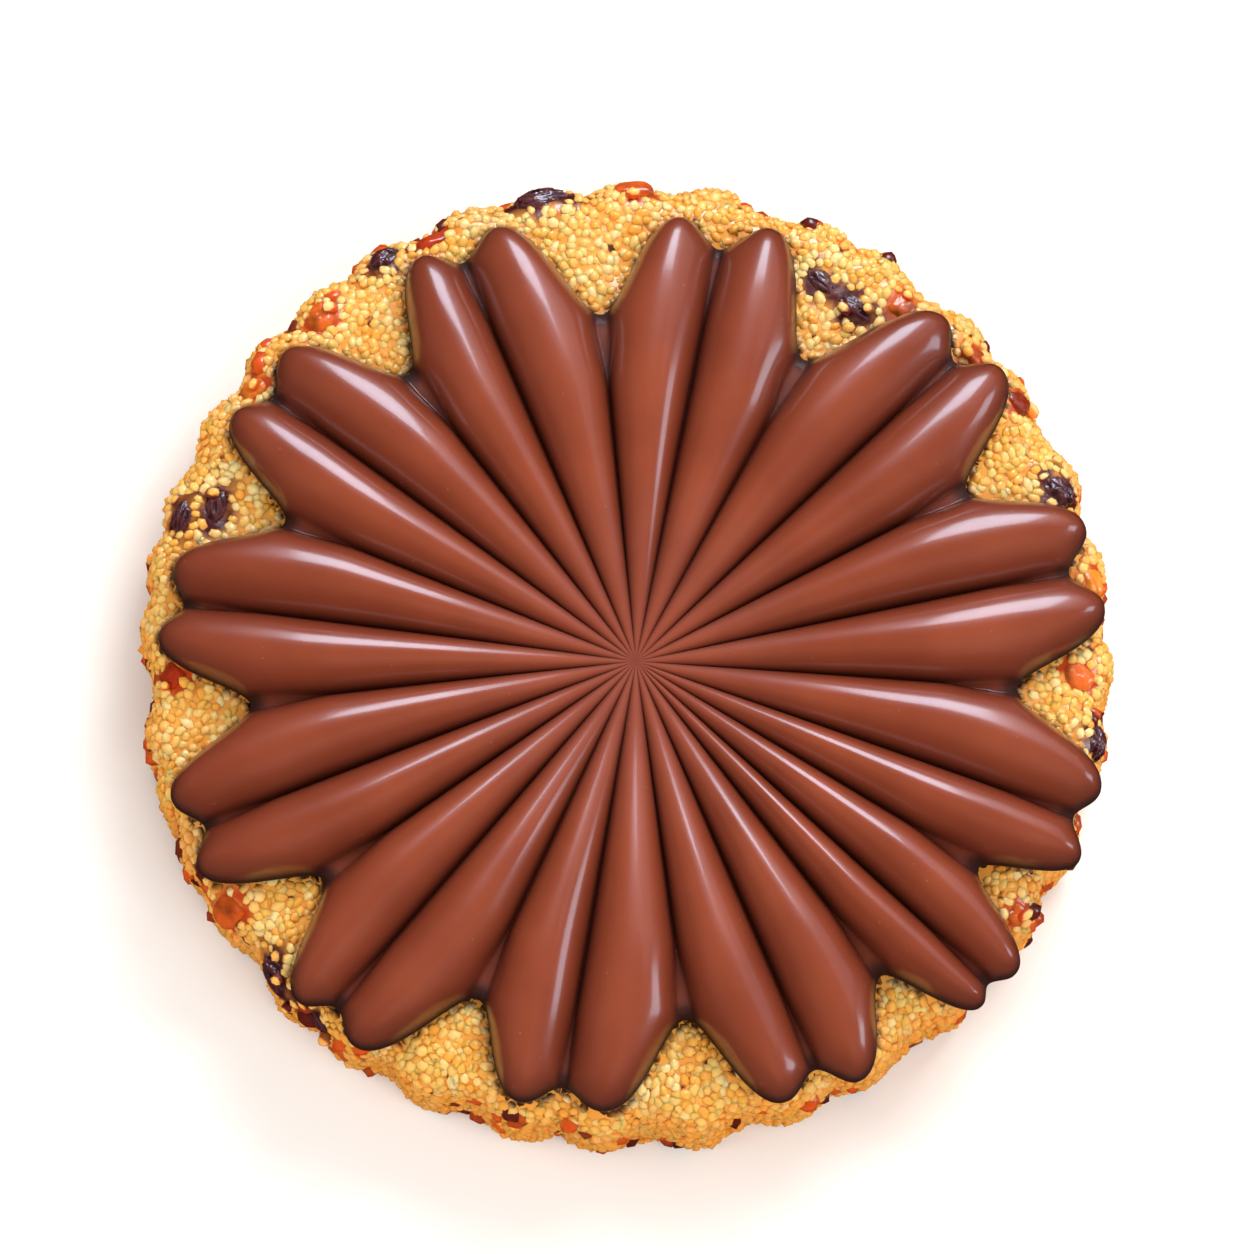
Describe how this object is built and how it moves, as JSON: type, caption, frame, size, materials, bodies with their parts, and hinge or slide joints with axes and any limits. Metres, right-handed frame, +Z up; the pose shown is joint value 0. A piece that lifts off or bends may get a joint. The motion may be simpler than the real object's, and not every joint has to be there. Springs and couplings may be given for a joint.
{
  "type": "multigrain cookie",
  "caption": "Thick round cookie of small golden grains with raisins and candied fruit, topped by a glossy moulded milk-chocolate flower of two-lobed petals.",
  "frame": {"origin": "middle of the cookie's footprint, on its flat underside", "axes": "+Z up out of the chocolate side; -Y towards the viewer of the shown side; +X to that viewer's right"},
  "size_m": [0.1486, 0.1504, 0.029],
  "materials": {
    "baked_grain": "moist, glistening, rough with grains",
    "milk_chocolate": "smooth, tempered, glossy",
    "raisin_skin": "wrinkled, glossy",
    "candied_fruit": "translucent, sticky, glossy"
  },
  "bodies": {
    "root": {"grain_base": "baked_grain", "chocolate_flower": "milk_chocolate", "raisin_1": "raisin_skin", "raisin_2": "raisin_skin", "raisin_3": "raisin_skin", "raisin_4": "raisin_skin", "raisin_5": "raisin_skin", "raisin_6": "raisin_skin", "raisin_7": "raisin_skin", "raisin_8": "raisin_skin", "raisin_9": "raisin_skin", "raisin_10": "raisin_skin", "candied_fruit_1": "candied_fruit", "candied_fruit_2": "candied_fruit", "candied_fruit_3": "candied_fruit", "candied_fruit_4": "candied_fruit", "candied_fruit_5": "candied_fruit", "candied_fruit_6": "candied_fruit", "candied_fruit_7": "candied_fruit", "candied_fruit_8": "candied_fruit", "candied_fruit_9": "candied_fruit", "candied_fruit_10": "candied_fruit", "candied_fruit_11": "candied_fruit", "candied_fruit_12": "candied_fruit"}
  },
  "joints": []
}
